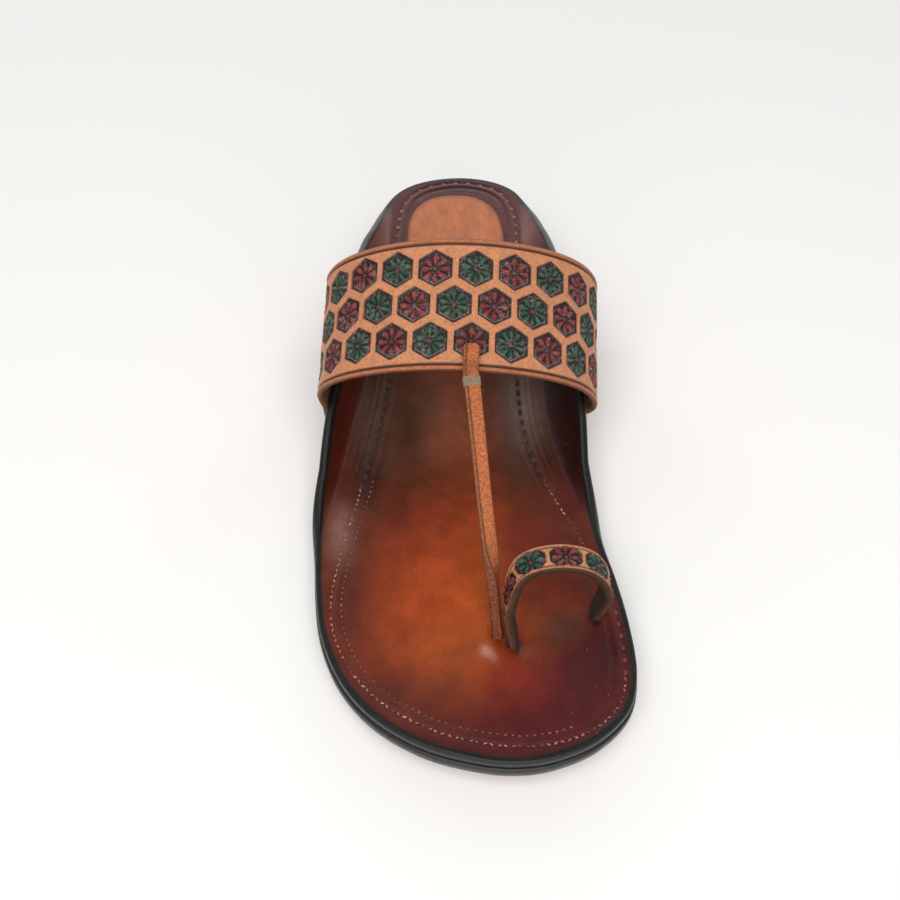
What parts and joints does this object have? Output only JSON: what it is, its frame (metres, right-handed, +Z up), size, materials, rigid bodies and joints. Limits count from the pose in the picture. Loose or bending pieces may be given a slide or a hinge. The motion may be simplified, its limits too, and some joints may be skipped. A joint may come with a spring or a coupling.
{
  "type": "kolhapuri chappal",
  "caption": "Right-foot leather sandal with a moulded footbed turned up at the sides, a low stacked heel, a tooled instep band, a toe thong and a big-toe loop.",
  "frame": {"origin": "middle of the footprint box, on the floor that the sole stands on", "axes": "+Z up, +Y to the back of the heel, so the toe points to -Y; +X to the inner side of the foot"},
  "size_m": [0.1122, 0.285, 0.0829],
  "materials": {
    "footbed": "hand-burnished vegetable-tanned leather, orange-brown to maroon, waxed, black dyed edge",
    "outsole": "thick sole leather with a black dyed, burnished edge",
    "heel": "stacked sole leather, dark dyed and burnished",
    "heel_patch": "thin natural tan leather, matte, fine vertical marks",
    "upper": "natural tan leather, stamped hexagons dyed dark with green and red petals",
    "thong_wrap": "grey-brown waxed thread wound close",
    "toe_loop": "natural tan leather, stamped hexagons, dark flesh side"
  },
  "bodies": {
    "root": {"footbed": "footbed", "outsole": "outsole", "heel": "heel", "heel_patch": "heel_patch", "upper": "upper", "thong_wrap": "thong_wrap", "toe_loop": "toe_loop"}
  },
  "joints": []
}
